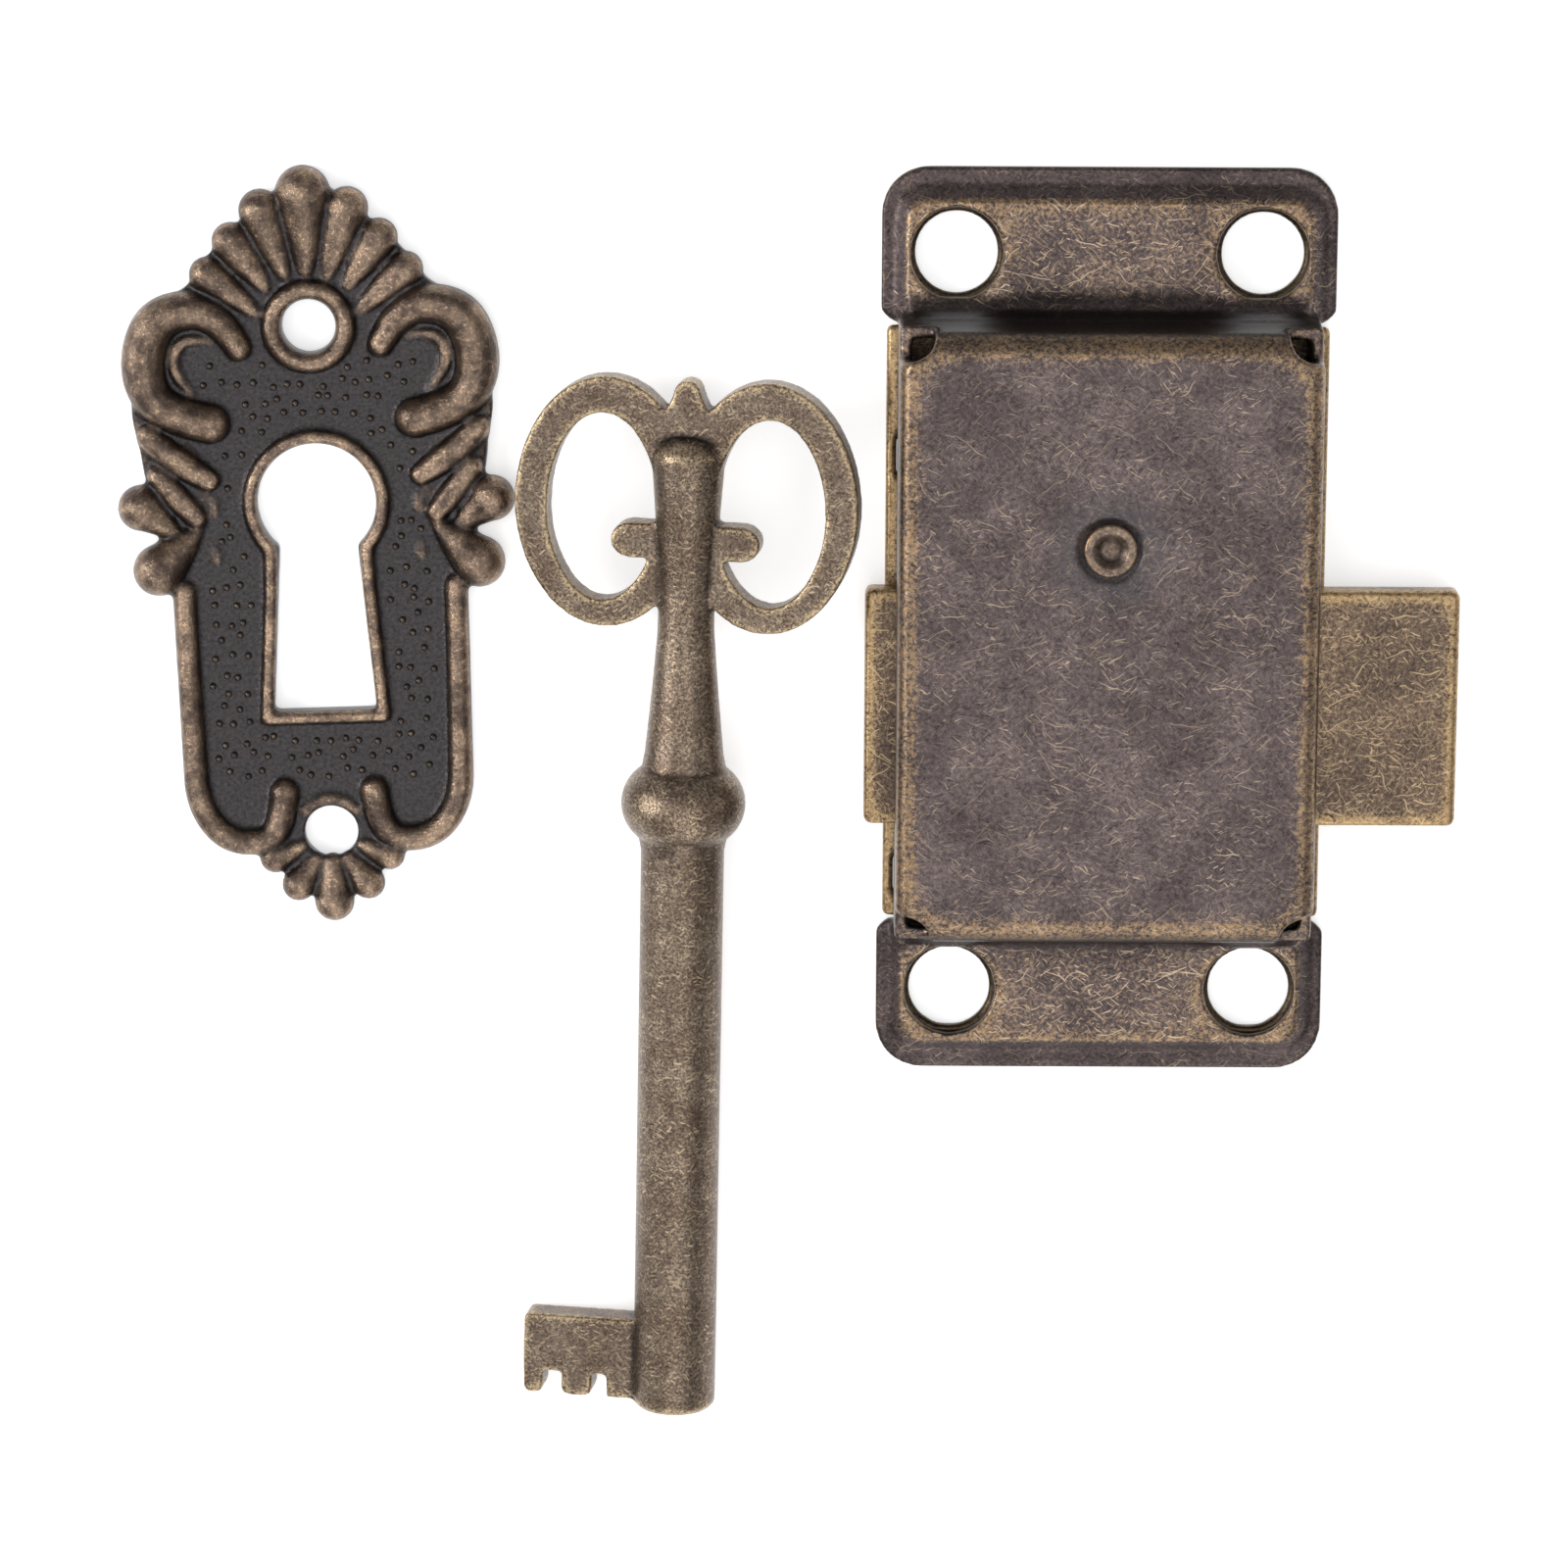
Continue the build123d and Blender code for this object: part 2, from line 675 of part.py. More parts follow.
def keyhole_outline(grow):
    with Locations((0, keyhole_v)):
        Circle(keyhole_radius + grow)
    with BuildLine() as foot:
        Polyline(
            (-keyhole_throat_half_width - grow, keyhole_v),
            (-keyhole_throat_half_width - grow, keyhole_throat_v),
            (-keyhole_foot_half_width - grow, keyhole_foot_v - grow),
            (keyhole_foot_half_width + grow, keyhole_foot_v - grow),
            (keyhole_throat_half_width + grow, keyhole_throat_v),
            (keyhole_throat_half_width + grow, keyhole_v),
            close=True,
        )
    make_face(foot.line)


# Escutcheon: a plate whose edge runs through the tips of the flutes, with raised forms
with BuildPart() as escutcheon:
    with BuildSketch(escutcheon_plane):
        with BuildLine():
            Polyline((0, bottom_hole_v), *[ends[1][:2] for ends in foot_shell], (corner_u, rim_foot_v))
            Polyline(
                (corner_u, rim_foot_v),
                (corner_u, lower_corner_v),
                (rim_u, lower_corner_v),
                (rim_u, waist_v),
                *[ends[1][:2] for ends in reversed(side_lobes)],
                on_arc(scroll_u, scroll_v, scroll_bend_radius, 0),
                on_arc(scroll_u, scroll_v, scroll_bend_radius, 45),
                on_arc(scroll_u, scroll_v, scroll_bend_radius, 90),
                *[ends[1][:2] for ends in reversed(shell)],
                (0, bottom_hole_v),
            )
        make_face()
        mirror(about=Plane.YZ)
    extrude(amount=floor_thickness)
    for side in (1, -1):
        with BuildSketch(escutcheon_plane):
            with Locations((side * corner_u, lower_corner_v)):
                Circle(rim_bend_radius)
        extrude(amount=floor_thickness)
    add(raised_forms)
    with BuildSketch(escutcheon_plane.offset(floor_thickness)):
        keyhole_outline(keyhole_bead_width)
        with Locations((0, top_hole_v)):
            Circle(collar_ring_radius)
    extrude(amount=keyhole_bead_height - floor_thickness)
    with BuildSketch(escutcheon_plane):
        keyhole_outline(0)
        for hole_v in (top_hole_v, bottom_hole_v):
            with Locations((0, hole_v)):
                Circle(escutcheon_hole_radius)
    extrude(amount=scroll_height, mode=Mode.SUBTRACT)
escutcheon.part.label = "escutcheon"
export_step(escutcheon.part, "parts/escutcheon.step")
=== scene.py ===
import json
from math import atan2, cos, degrees, hypot, pi, radians, sin
from random import Random

import bmesh
import bpy
import numpy as np
from mathutils import Matrix, Vector
from mathutils.bvhtree import BVHTree

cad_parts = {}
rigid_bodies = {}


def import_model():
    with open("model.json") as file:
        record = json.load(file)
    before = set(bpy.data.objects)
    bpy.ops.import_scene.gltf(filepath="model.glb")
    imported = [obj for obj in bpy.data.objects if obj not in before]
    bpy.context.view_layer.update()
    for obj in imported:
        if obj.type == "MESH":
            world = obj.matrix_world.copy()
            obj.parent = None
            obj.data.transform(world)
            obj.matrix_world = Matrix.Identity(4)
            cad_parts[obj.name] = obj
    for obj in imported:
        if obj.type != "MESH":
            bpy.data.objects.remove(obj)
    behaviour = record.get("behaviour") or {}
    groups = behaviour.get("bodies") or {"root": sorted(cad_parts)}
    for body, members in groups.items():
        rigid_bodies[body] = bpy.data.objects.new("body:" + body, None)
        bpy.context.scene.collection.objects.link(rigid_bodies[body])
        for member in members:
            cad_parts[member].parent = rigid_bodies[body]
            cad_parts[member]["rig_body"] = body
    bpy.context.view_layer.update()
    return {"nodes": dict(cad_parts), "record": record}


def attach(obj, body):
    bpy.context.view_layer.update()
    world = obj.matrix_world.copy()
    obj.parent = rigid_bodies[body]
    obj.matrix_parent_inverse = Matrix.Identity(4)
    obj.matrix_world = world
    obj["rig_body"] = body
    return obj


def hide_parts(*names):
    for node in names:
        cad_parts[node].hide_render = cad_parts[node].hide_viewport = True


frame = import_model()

# Cabinet lock, its barrel key and its cast escutcheon, in antique bronze on a pale floor.
# Pieces are modelled in millimetres and brought to metres at the end.
millimetre = 0.001

# Skin of the escutcheon: its grid, and how often it is smoothed, for the shape and for the wear
escutcheon_skin = 0.18
escutcheon_smoothing = 3
escutcheon_wear_reach = 10

# Case: end walls that lean in, and the wide bend from the ears' pads up into them
end_wall_y = 22.3
end_wall_lean = 0.7
end_bend_radius = 1.7
pad_top = 1.9
screw_x = 10.75
bend_half_length = 13.9
bend_rise = 2.2
bend_steps = 80
bend_reach_at_holes = 1.15
bend_reach_added = 0.75
bend_hole_clearance = 2.6
bend_widening = 1.8
bend_inset = 0.4
bend_sunk = 0.5
bend_lift = 0.03

# Key: its axis on the table, and its bow and stem as the photo shows them
collar_centre = (-29.8, -12.3, 4.435)
collar_station = 45.05
key_lean = 0.8
key_pitch = radians(1.863)
key_roll = radians(9.163)
bow_start = 57.0
bow_half = 1.5
bow_half_shown = 1.08
bow_lift = 0.55
bow_lift_end = 68.0
bow_lift_fade = 6.0
dome_rise = 0.6

# Stem: station and radius. Rings beside the collar: first and last station, and largest radius
stem_profile = [
    (47.0, 3.0), (48.3, 2.83), (53.4, 2.34), (57.4, 2.02), (60.6, 1.95), (64.0, 2.15), (70.0, 2.6),
]
ring_stretches = [(38.0, 42.4, 2.97), (47.7, 50.5, 2.85)]

# Escutcheon in its own axes: u to its right, v to its top, w up from the table
floor_height = 1.3
top_hole_v = 15.5
bottom_hole_v = -20.9
hole_radius = 1.9
keyhole_v = 2.95
keyhole_radius = 4.2
keyhole_throat = 2.75
keyhole_foot = 3.65
keyhole_foot_v = -12.0
keyhole_bead_radius = 0.5
bead_rise = 1.3
top_ring_radius = 0.72
bottom_collar_radius = 0.5
bottom_collar_rise = 0.7
cheek_height = 1.5

# Pimples of the floor, and the field that they are tried in
dimple_radius = 0.27
dimple_spacing = 1.22
dimple_jitter = 0.3
dimple_margin = 2.2
dimple_flatness = 0.06
dimple_left = -9
dimple_top = 14
dimple_width = 18
dimple_length = 32

# Parts of the noise patterns that are stretched to their full range
cloud_low = 0.38
cloud_high = 0.62
grain_low = 0.34
grain_high = 0.66

# Floor and room: half size of the floor in metres, its glow to the camera, the room's light
floor_half_size = 3.0
floor_glow = 0.5
room_light = 0.4


def linear(code):
    """The linear colour of an sRGB hex value."""
    shares = [int(code[i : i + 2], 16) / 255 for i in (1, 3, 5)]
    return tuple(c / 12.92 if c <= 0.04045 else ((c + 0.055) / 1.055) ** 2.4 for c in shares) + (1.0,)


def add_node(tree, kind, inputs, **settings):
    """Adds one node, with its settings, and sets or links its inputs."""
    node = tree.nodes.new("ShaderNode" + kind)
    for name, value in settings.items():
        setattr(node, name, value)
    for name, value in inputs.items():
        if isinstance(value, bpy.types.NodeSocket):
            tree.links.new(value, node.inputs[name])
        else:
            node.inputs[name].default_value = value
    return node


def start_material(name):
    """An empty material, its tree, and the place on the piece in millimetres."""
    material = bpy.data.materials.new(name)
    material.use_nodes = True
    tree = material.node_tree
    tree.nodes.clear()
    corner = add_node(tree, "TexCoord", {})
    scaled = add_node(tree, "Mapping", {"Vector": corner.outputs["Object"], "Scale": (1000, 1000, 1000)})
    return material, tree, scaled.outputs[0], corner.outputs["Normal"]


def hair_scratches(tree, place, facing, cell, width, share, seed):
    """Fine straight scratches, one in each cell of the metal and in any direction: 0 to 1."""
    moved = add_node(tree, "VectorMath", {0: place, 1: (7.3 * seed, 3.1 * seed, 5.7 * seed)})
    cells = add_node(tree, "TexVoronoi", {"Vector": moved.outputs[0], "Scale": 1 / cell})
    random = add_node(
        tree, "VectorMath", {0: cells.outputs["Color"], 1: (0.5, 0.5, 0.5)}, operation="SUBTRACT"
    )
    upright = add_node(tree, "VectorMath", {0: random.outputs[0], 1: facing}, operation="PROJECT")
    flat = add_node(tree, "VectorMath", {0: random.outputs[0], 1: upright.outputs[0]}, operation="SUBTRACT")
    across = add_node(tree, "VectorMath", {0: flat.outputs[0]}, operation="NORMALIZE")
    run = add_node(
        tree, "VectorMath", {0: moved.outputs[0], 1: cells.outputs["Position"]}, operation="SUBTRACT"
    )
    side = add_node(tree, "VectorMath", {0: run.outputs[0], 1: across.outputs[0]}, operation="DOT_PRODUCT")
    distance = add_node(tree, "Math", {0: side.outputs["Value"]}, operation="ABSOLUTE")
    line = add_node(tree, "MapRange", {0: distance.outputs[0], 1: width / 2, 2: width, 3: 1.0, 4: 0.0})
    reach = add_node(tree, "MapRange", {0: cells.outputs["Distance"], 1: 0.4, 2: 0.75, 3: 1.0, 4: 0.0})
    channels = add_node(tree, "SeparateColor", {0: cells.outputs["Color"]})
    chosen = add_node(tree, "MapRange", {0: channels.outputs[1], 1: 1 - share, 2: 1.02, 3: 0.0, 4: 1.0})
    depth = add_node(tree, "Math", {0: chosen.outputs[0], 1: 1.8}, operation="POWER")
    ended = add_node(tree, "Math", {0: line.outputs[0], 1: reach.outputs[0]}, operation="MULTIPLY")
    return add_node(tree, "Math", {0: ended.outputs[0], 1: depth.outputs[0]}, operation="MULTIPLY").outputs[0]


def largest(tree, values):
    """The largest of several values."""
    total = values[0]
    for value in values[1:]:
        total = add_node(tree, "Math", {0: total, 1: value}, operation="MAXIMUM").outputs[0]
    return total


def scratches(tree, place, facing, layers, first_seed):
    """Several layers of hair scratches in one: 0 to 1."""
    lines = []
    for number, (cell, width, share) in enumerate(layers):
        lines.append(hair_scratches(tree, place, facing, cell, width, share, first_seed + number))
    return largest(tree, lines)


def tumbled_bronze(name, look, low_black=None, rub=(0, 0), painted_shade_beyond_y=0, painted_wall_shade=0, halo=None):
    """Bronze plate, blackened and tumbled: bare gold specks and hair scratches on what stands
    proud, black in the hollows, both as the patina kept there and as painted shade. Walls that
    face along y and the ends past a given y can take painted shade too. The look's wear is how
    far, in mm, a bare spot stands proud."""
    material, tree, place, facing = start_material(name)
    wear = look["wear"]
    proud = add_node(tree, "Attribute", {}, attribute_name="wear").outputs["Fac"]
    height = add_node(tree, "SeparateXYZ", {0: place})
    cloud = add_node(
        tree, "TexNoise", {"Vector": place, "Scale": look["cloud"], "Detail": 4.0, "Roughness": 0.6}
    )
    patches = add_node(tree, "MapRange", {0: cloud.outputs[0], 1: cloud_low, 2: cloud_high, 3: 0.0, 4: 1.0})
    # The grain is about 0.1 mm in the metal and is drawn at 0.2 to 0.3 mm, so that it shows
    fine = add_node(
        tree, "TexNoise", {"Vector": place, "Scale": look["grain"], "Detail": 3.0, "Roughness": 0.8}
    )
    patina = add_node(
        tree,
        "Mix",
        {0: patches.outputs[0], 6: linear(look["dark"]), 7: linear(look["light"])},
        data_type="RGBA",
    )
    low, high = look["contrast"]
    mottled = add_node(tree, "MapRange", {0: fine.outputs[0], 1: grain_low, 2: grain_high, 3: low, 4: high})
    shaded = add_node(tree, "MapRange", {0: proud, 1: -0.3 * wear, 2: 0.9 * wear, 3: look["slope"], 4: 1.0})
    tone = add_node(tree, "Math", {0: mottled.outputs[0], 1: shaded.outputs[0]}, operation="MULTIPLY")
    tinted = add_node(tree, "VectorMath", {0: patina.outputs[2], 3: tone.outputs[0]}, operation="SCALE")
    low_edge, high_edge = look["edge"]
    raised = add_node(tree, "MapRange", {0: height.outputs[2], 1: 3.0, 2: 8.0, 3: low_edge, 4: high_edge})
    crest = add_node(tree, "MapRange", {0: proud, 1: 0.05 * wear, 2: 0.9 * wear, 3: 0.0, 4: 1.0})
    edge = add_node(tree, "Math", {0: crest.outputs[0], 1: raised.outputs[0]}, operation="MULTIPLY")
    rub_height, rub_amount = rub
    off = add_node(tree, "Math", {0: height.outputs[2], 1: rub_height}, operation="SUBTRACT")
    off = add_node(tree, "Math", {0: off.outputs[0]}, operation="ABSOLUTE")
    on_pad = add_node(tree, "MapRange", {0: off.outputs[0], 1: 0.15, 2: 0.35, 3: rub_amount, 4: 0.0})
    lifted = add_node(
        tree, "Math", {0: patches.outputs[0], 1: 0.07, 2: edge.outputs[0]}, operation="MULTIPLY_ADD"
    )
    rubbed = add_node(
        tree, "Math", {0: on_pad.outputs[0], 1: 0.17, 2: lifted.outputs[0]}, operation="MULTIPLY_ADD"
    )
    worn = add_node(tree, "Math", {0: fine.outputs[0], 1: rubbed.outputs[0]})
    specks = add_node(
        tree,
        "MapRange",
        {0: worn.outputs[0], 1: 0.7 - look["rubbed"], 2: 1.0 - look["rubbed"], 3: 0.0, 4: 1.0},
    )
    colour = add_node(
        tree, "Mix", {0: specks.outputs[0], 6: tinted.outputs[0], 7: linear(look["gold"])}, data_type="RGBA"
    ).outputs[2]
    if look["hairs"]:
        bend = add_node(tree, "TexNoise", {"Vector": place, "Scale": 0.5, "Detail": 1.0})
        bow = add_node(tree, "VectorMath", {0: bend.outputs["Color"], 3: 1.3}, operation="SCALE")
        bent = add_node(tree, "VectorMath", {0: place, 1: bow.outputs[0]}).outputs[0]
        dark = scratches(tree, bent, facing, look["dark_hairs"], 21)
        dark = add_node(tree, "Math", {0: dark, 1: 0.6}, operation="MULTIPLY")
        colour = add_node(
            tree, "Mix", {0: dark.outputs[0], 6: colour, 7: linear(look["hollow"])}, data_type="RGBA"
        ).outputs[2]
        swarm = add_node(tree, "TexNoise", {"Vector": place, "Scale": 0.4, "Detail": 2.0})
        strength = add_node(
            tree, "MapRange", {0: swarm.outputs[0], 1: 0.42, 2: 0.62, 3: look["faint"], 4: 0.9}
        )
        stronger = add_node(tree, "Math", {0: strength.outputs[0], 1: on_pad.outputs[0]})
        bright = scratches(tree, bent, facing, look["hairs"], 1)
        bright = add_node(
            tree, "Math", {0: bright, 1: stronger.outputs[0]}, operation="MULTIPLY", use_clamp=True
        )
        colour = add_node(
            tree, "Mix", {0: bright.outputs[0], 6: colour, 7: linear(look["scratch"])}, data_type="RGBA"
        ).outputs[2]
    # Black in the hollows: partly the blackened patina kept there, partly painted shade in creases, grooves
    # and the concave bends at the case's ends
    full, start = look["deep"]
    sunk = add_node(tree, "MapRange", {0: proud, 1: -full * wear, 2: -start * wear, 3: 1.0, 4: 0.0})
    black = sunk.outputs[0]
    # Painted shade: walls that face along y, the case's end walls most of all, are darkened towards black
    if painted_wall_shade:
        slants = add_node(tree, "SeparateXYZ", {0: facing})
        slant = add_node(tree, "Math", {0: slants.outputs[1]}, operation="ABSOLUTE")
        wall = add_node(tree, "MapRange", {0: slant.outputs[0], 1: 0.5, 2: 0.9, 3: 0.0, 4: painted_wall_shade})
        black = largest(tree, [black, wall.outputs[0]])
    if low_black:
        foot_top, fade, amount = low_black
        foot = add_node(
            tree, "MapRange", {0: height.outputs[2], 1: foot_top, 2: foot_top + fade, 3: amount, 4: 0.0}
        )
        black = largest(tree, [black, foot.outputs[0]])
    # Painted shade: past this distance along y the base plate lies under the ears and is darkened there
    if painted_shade_beyond_y:
        along = add_node(tree, "Math", {0: height.outputs[1]}, operation="ABSOLUTE")
        past = add_node(
            tree, "MapRange", {0: along.outputs[0], 1: painted_shade_beyond_y, 2: painted_shade_beyond_y + 0.5, 3: 0.0, 4: 0.85}
        )
        black = largest(tree, [black, past.outputs[0]])
    pitted = add_node(tree, "MapRange", {0: fine.outputs[0], 1: grain_low, 2: grain_high, 3: 0.6, 4: 1.5})
    hollow = add_node(
        tree, "VectorMath", {0: linear(look["hollow"])[:3], 3: pitted.outputs[0]}, operation="SCALE"
    )
    shown = add_node(tree, "Mix", {0: black, 6: colour, 7: hollow.outputs[0]}, data_type="RGBA").outputs[2]
    if halo:
        level = add_node(tree, "VectorMath", {0: place, 1: (1, 1, 0)}, operation="MULTIPLY")
        away = add_node(tree, "VectorMath", {0: level.outputs[0], 1: halo}, operation="DISTANCE")
        blue = add_node(tree, "MapRange", {0: away.outputs["Value"], 1: 2.4, 2: 5.0, 3: 0.5, 4: 0.0})
        shown = add_node(
            tree, "Mix", {0: blue.outputs[0], 6: shown, 7: linear("#44464b")}, data_type="RGBA"
        ).outputs[2]
    matt, bare = look["gloss"]
    rough = add_node(tree, "MapRange", {0: specks.outputs[0], 1: 0.0, 2: 1.0, 3: matt, 4: bare})
    relief = add_node(tree, "Bump", {"Strength": look["bump"], "Distance": 0.0001, "Height": fine.outputs[0]})
    shader = add_node(
        tree,
        "BsdfPrincipled",
        {"Base Color": shown, "Roughness": rough.outputs[0], "Metallic": 0.9, "Normal": relief.outputs[0]},
    )
    add_node(tree, "OutputMaterial", {"Surface": shader.outputs[0]})
    return material


def add_wear(mesh, reach):
    """Stores how far each vertex stands out of its surroundings, in millimetres, as wear."""
    count = len(mesh.vertices)
    places = np.zeros(count * 3, np.float32)
    mesh.vertices.foreach_get("co", places)
    places = places.reshape(-1, 3).astype(float)
    normals = np.zeros(count * 3, np.float32)
    mesh.vertices.foreach_get("normal", normals)
    ends = np.zeros(len(mesh.edges) * 2, np.int32)
    mesh.edges.foreach_get("vertices", ends)
    ends = ends.reshape(-1, 2)
    both = np.concatenate([ends, ends[:, ::-1]])
    valence = np.maximum(np.bincount(both[:, 0], minlength=count), 1)
    smoothed = places.copy()
    for _ in range(reach):
        smoothed = np.stack(
            [np.bincount(both[:, 0], smoothed[both[:, 1], axis], count) / valence for axis in range(3)],
            axis=1,
        )
    proud = ((places - smoothed) * normals.reshape(-1, 3)).sum(axis=1)
    attribute = mesh.attributes.new("wear", "FLOAT", "POINT")
    attribute.data.foreach_set("value", proud.astype(np.float32))


def grow_skin(solid, grid, rounds):
    """One closed skin over the solids in a bmesh, in a square grid, smoothed."""
    raw = bpy.data.meshes.new("raw")
    solid.to_mesh(raw)
    solid.free()
    holder = bpy.data.objects.new("raw", raw)
    bpy.context.scene.collection.objects.link(holder)
    remesh = holder.modifiers.new("skin", "REMESH")
    remesh.mode = "VOXEL"
    remesh.voxel_size = grid
    skin = bpy.data.meshes.new_from_object(holder.evaluated_get(bpy.context.evaluated_depsgraph_get()))
    bpy.data.objects.remove(holder)
    shape = bmesh.new()
    shape.from_mesh(skin)
    for _ in range(rounds):
        bmesh.ops.smooth_vert(
            shape, verts=shape.verts, factor=0.5, use_axis_x=True, use_axis_y=True, use_axis_z=True
        )
    return shape


def finish_piece(shape, name, node, place, material):
    """Makes the bmesh a piece that stands for a node, on that node's body."""
    mesh = bpy.data.meshes.new(name)
    shape.to_mesh(mesh)
    shape.free()
    mesh.transform(place)
    mesh.shade_smooth()
    mesh.materials.append(material)
    piece = bpy.data.objects.new(name, mesh)
    bpy.context.scene.collection.objects.link(piece)
    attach(piece, frame["nodes"][node]["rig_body"])
    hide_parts(node)
    return piece


def node_shape(node):
    """A merged copy of a node's mesh, in millimetres."""
    shape = bmesh.new()
    shape.from_mesh(frame["nodes"][node].data)
    bmesh.ops.scale(shape, vec=(1 / millimetre,) * 3, verts=shape.verts)
    bmesh.ops.remove_doubles(shape, verts=shape.verts, dist=0.002)
    return shape


def worn_shape(shape, reach):
    """The same shape with its wear stored."""
    mesh = bpy.data.meshes.new("worn")
    shape.to_mesh(mesh)
    shape.free()
    add_wear(mesh, reach)
    worn = bmesh.new()
    worn.from_mesh(mesh)
    bpy.data.meshes.remove(mesh)
    return worn


def skinned_piece(node, name, grid, rounds, reach, material, before=None, after=None):
    """A CAD node with the small round edges that tumbling leaves, and its wear."""
    solid = node_shape(node)
    if before:
        before(solid)
    shape = grow_skin(solid, grid, rounds)
    if after:
        after(shape)
    return finish_piece(worn_shape(shape, reach), name, node, Matrix.Scale(millimetre, 4), material)


def shape_cover(solid):
    """The case's end walls lean inwards a little towards the face, as drawn sheet does."""
    face = max(v.co.z for v in solid.verts)
    for vertex in solid.verts:
        near_end = min(max((abs(vertex.co.y) - end_wall_y + 3.0) / 2.0, 0), 1)
        up = min(max((vertex.co.z - pad_top) / (face - pad_top), 0), 1)
        if abs(vertex.co.y) < end_wall_y + 0.1:
            vertex.co.y -= end_wall_lean * near_end * up * (1 if vertex.co.y > 0 else -1)
    bend_up_pads(solid)


def bend_up_pads(solid):
    """The wide bend in which the ears' pads rise into the end walls, narrower at the screw holes."""
    for end in (1, -1):
        bend = bmesh.new()
        rows = []
        for step in range(bend_steps + 1):
            x = bend_half_length * (step / (bend_steps / 2) - 1)
            clear = min(max((abs(abs(x) - screw_x) - bend_hole_clearance) / bend_widening, 0), 1)
            reach = bend_reach_at_holes + bend_reach_added * clear
            root = pad_top - bend_sunk
            section = [(-bend_inset, pad_top + bend_rise), (-bend_inset, root), (reach, root)]
            for turn in range(0, 91, 10):
                slope = radians(turn)
                height = pad_top + bend_rise * (1 - cos(slope)) + bend_lift
                section.append((reach * (1 - sin(slope)), height))
            rows.append([bend.verts.new((x, end * (end_wall_y + away), z)) for away, z in section])
        count = len(rows[0])
        for row, following in zip(rows, rows[1:]):
            for i in range(count):
                j = (i + 1) % count
                bend.faces.new((row[i], row[j], following[j], following[i]))
        bend.faces.new(rows[0])
        bend.faces.new(rows[-1])
        moulded = bpy.data.meshes.new("bend")
        bend.to_mesh(moulded)
        bend.free()
        solid.from_mesh(moulded)
        bpy.data.meshes.remove(moulded)


def round_end_bends(skin):
    """The wide bend from the face into each end wall."""
    face = max(v.co.z for v in skin.verts)
    for vertex in skin.verts:
        lean = end_wall_lean * min(max((vertex.co.z - pad_top) / (face - pad_top), 0), 1)
        inward = abs(vertex.co.y) - (end_wall_y - lean - end_bend_radius)
        up = vertex.co.z - (face - end_bend_radius)
        away = hypot(inward, up)
        if inward > 0 and up > 0 and away > end_bend_radius:
            vertex.co.z -= up * (1 - end_bend_radius / away)
            vertex.co.y -= inward * (1 - end_bend_radius / away) * (1 if vertex.co.y > 0 else -1)


def dress_key(solid):
    """Thins the bow, evens the rings beside the collar and swells the stem, as in the photo."""
    lean, pitch = radians(key_lean), key_pitch
    along = Vector((sin(lean) * cos(pitch), cos(lean) * cos(pitch), sin(pitch)))
    flat = Vector((cos(lean), -sin(lean), 0))
    across = flat * cos(key_roll) + flat.cross(along) * sin(key_roll)
    out = across.cross(along)
    start = Vector(collar_centre) - along * collar_station
    for vertex in solid.verts:
        reach = vertex.co - start
        high = reach.dot(out)
        station = reach.dot(along)
        spread = reach - along * station
        if station > bow_start and abs(abs(high) - bow_half) < 0.05:
            vertex.co -= out * (high - bow_half_shown * (1 if high > 0 else -1))
        if bow_start - 1 < station < bow_lift_end:
            vertex.co += along * bow_lift * min((bow_lift_end - station) / bow_lift_fade, 1)
        for first, last, limit in ring_stretches:
            if first < station < last and spread.length > limit:
                vertex.co = start + along * station + spread * (limit / spread.length)
    turned = Matrix((across, -out, along)).transposed().to_4x4()
    for (low, low_radius), (top, top_radius) in zip(stem_profile, stem_profile[1:]):
        place = Matrix.Translation(start + along * (low + top) / 2) @ turned
        bmesh.ops.create_cone(
            solid,
            cap_ends=True,
            segments=64,
            radius1=low_radius,
            radius2=top_radius,
            depth=top - low,
            matrix=place,
        )
    last_station, last_radius = stem_profile[-1]
    dome = Matrix.Translation(start + along * last_station) @ turned @ Matrix.Diagonal((1, 1, dome_rise, 1))
    bmesh.ops.create_icosphere(solid, subdivisions=4, radius=last_radius, matrix=dome)


def add_ball(solid, u, v, w, radius, rise=1.0, facets=20):
    """A ball, flattened by rise."""
    ball = bmesh.new()
    bmesh.ops.create_uvsphere(ball, u_segments=facets, v_segments=facets // 2 + 1, radius=radius)
    bmesh.ops.scale(ball, vec=(1, 1, rise), verts=ball.verts)
    bmesh.ops.translate(ball, vec=(u, v, w), verts=ball.verts)
    moulded = bpy.data.meshes.new("ball")
    ball.to_mesh(moulded)
    ball.free()
    solid.from_mesh(moulded)
    bpy.data.meshes.remove(moulded)


def add_bar(solid, points, radii, height, rise=1.0, closed=False):
    """A round bar through points (u, v) with a radius at each, and a ball on each open end."""
    line = bpy.data.curves.new("bar", "CURVE")
    line.dimensions = "3D"
    line.bevel_depth = 1.0
    line.bevel_resolution = 5
    line.resolution_u = 8
    line.use_fill_caps = True
    run = line.splines.new("NURBS")
    run.points.add(len(points) - 1)
    for knot, (u, v), radius in zip(run.points, points, radii):
        knot.co = (u, v, 0.0, 1.0)
        knot.radius = radius
    run.order_u = 3
    run.use_endpoint_u = not closed
    run.use_cyclic_u = closed
    holder = bpy.data.objects.new("bar", line)
    bar = bpy.data.meshes.new_from_object(holder)
    bar.transform(Matrix.Translation((0, 0, height)) @ Matrix.Diagonal((1, 1, rise, 1)))
    solid.from_mesh(bar)
    bpy.data.objects.remove(holder)
    if not closed:
        for (u, v), radius in ((points[0], radii[0]), (points[-1], radii[-1])):
            add_ball(solid, u, v, height, radius, rise)


